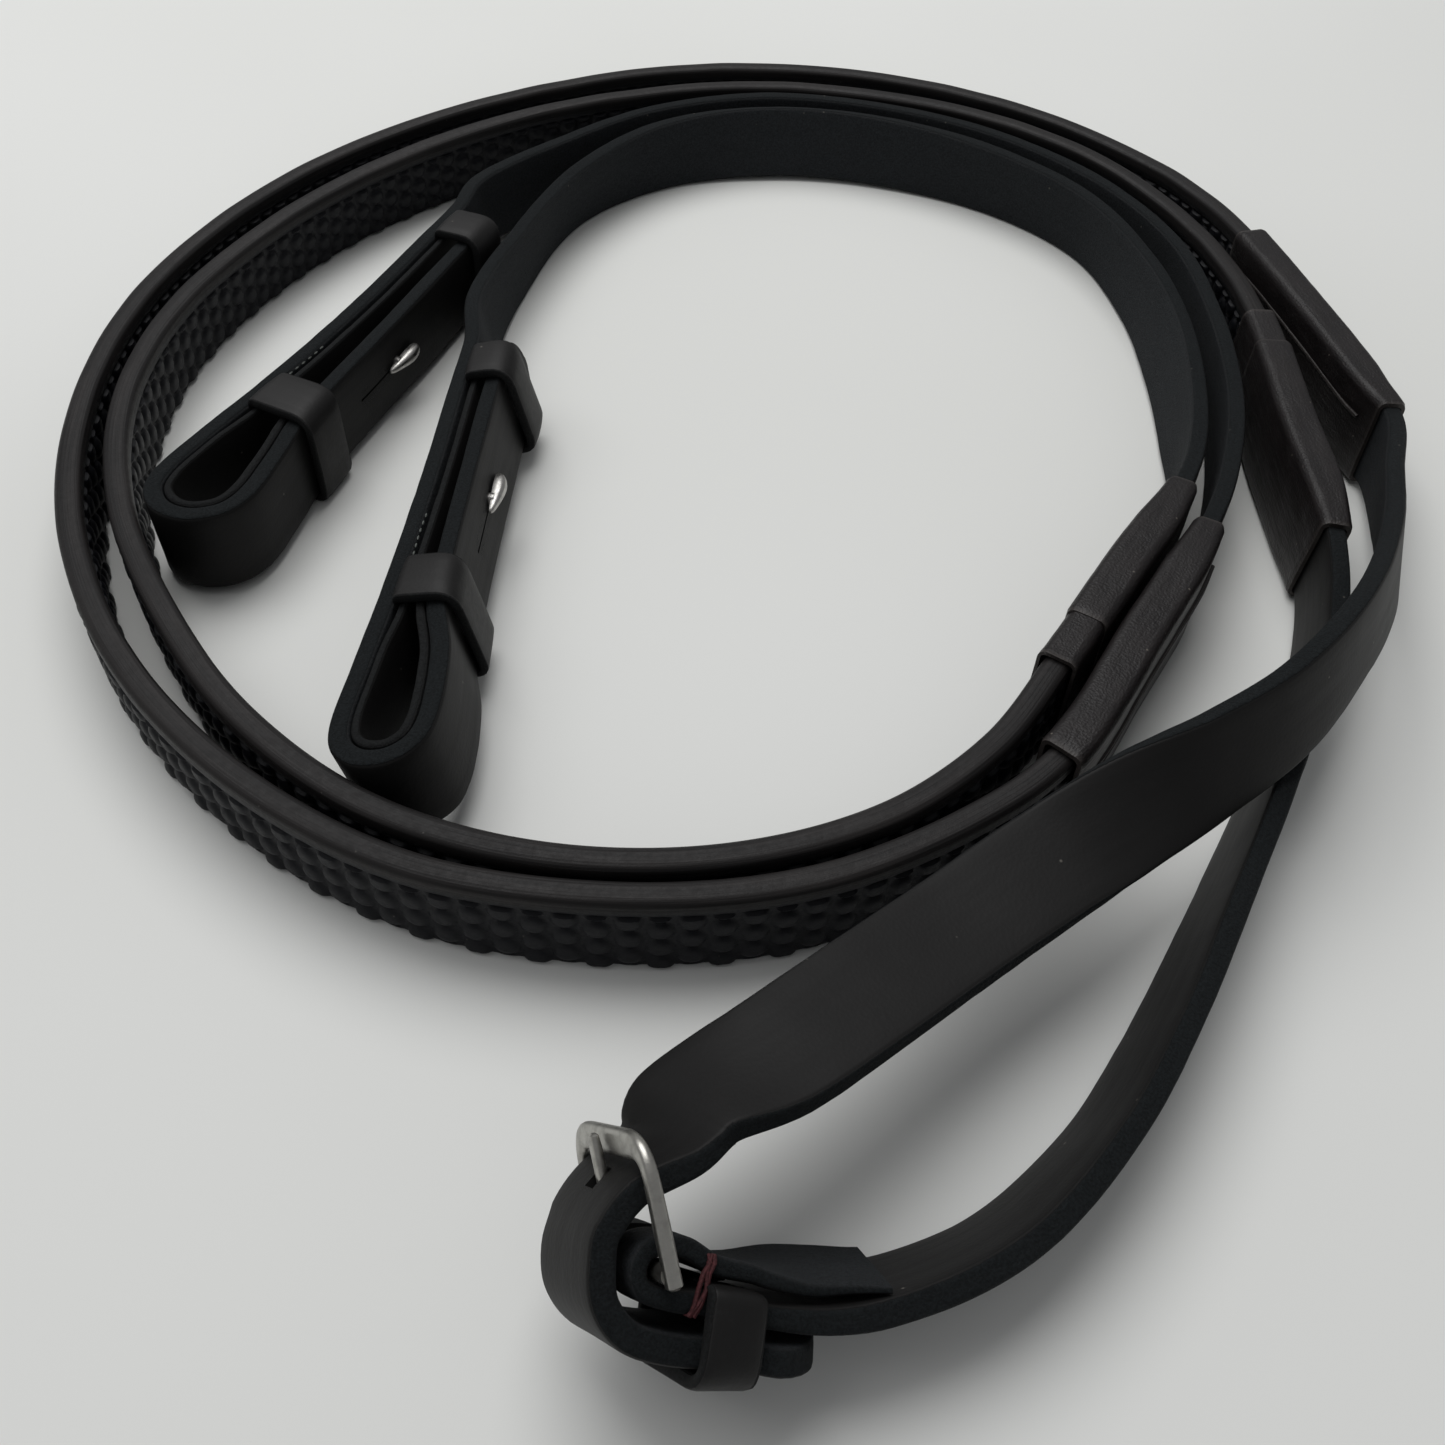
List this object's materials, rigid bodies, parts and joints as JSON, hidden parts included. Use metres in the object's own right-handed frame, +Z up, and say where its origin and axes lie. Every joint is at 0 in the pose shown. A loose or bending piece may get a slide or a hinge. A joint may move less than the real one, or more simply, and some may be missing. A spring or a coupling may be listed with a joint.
{
  "type": "leather reins",
  "caption": "Pair of narrow leather reins laid in a loose coil: rubber-pimple hand grips, stitched wraps, hook-stud billet loops with fixed keepers, and a centre buckle joining the hand ends.",
  "frame": {"origin": "centre of the coil's box, on the plane that the reins lie on", "axes": "+X across the coil towards the hand-end wraps, +Y away from the centre buckle, +Z up"},
  "size_m": [0.2542, 0.3247, 0.034],
  "materials": {
    "strap_leather": "worn black bridle leather, grain face satin, cut edges dyed and waxed",
    "liner_leather": "thin black lining leather, satin",
    "keeper_leather": "soft black keeper leather, rounded and worn",
    "wrap_leather": "thin dark brown-black leather sewn round the strap, creased and satin",
    "grip_rubber": "moulded black rubber with round pimples, matte, with a smooth rounded top edge",
    "grip_web": "woven reinforcing web inside the rubber",
    "stud_metal": "polished nickel-plated steel, worn",
    "buckle_metal": "satin nickel-plated steel, softly rounded"
  },
  "bodies": {
    "reins": {"front_strap_a": "strap_leather", "front_strap_b": "strap_leather", "billet_liner_a": "liner_leather", "billet_liner_b": "liner_leather", "lower_keeper_a": "keeper_leather", "lower_keeper_b": "keeper_leather", "upper_keeper_a": "keeper_leather", "upper_keeper_b": "keeper_leather", "hook_stud_a": "stud_metal", "hook_stud_b": "stud_metal", "stud_washer_a": "stud_metal", "stud_washer_b": "stud_metal", "front_wrap_a": "wrap_leather", "front_wrap_b": "wrap_leather", "grip_core_a": "grip_web", "grip_core_b": "grip_web", "grip_rubber_a": "grip_rubber", "grip_rubber_b": "grip_rubber", "hand_wrap_a": "wrap_leather", "hand_wrap_b": "wrap_leather", "hand_strap_a": "strap_leather", "hand_strap_b": "strap_leather", "centre_keeper": "keeper_leather"},
    "buckle": {"buckle_frame": "buckle_metal"},
    "tongue": {"buckle_tongue": "buckle_metal"}
  },
  "joints": [
    {"name": "buckle_swing", "type": "hinge", "parent": "reins", "child": "buckle", "pos_m": [-0.00875, -0.14905, 0.01835], "axis": [0.4215, -0.4215, 0.8029], "range_deg": [-1, 3]},
    {"name": "tongue_lift", "type": "hinge", "parent": "buckle", "child": "tongue", "pos_m": [-0.00875, -0.14905, 0.01835], "axis": [0.4215, -0.4215, 0.8029], "range_deg": [0, 4]}
  ]
}
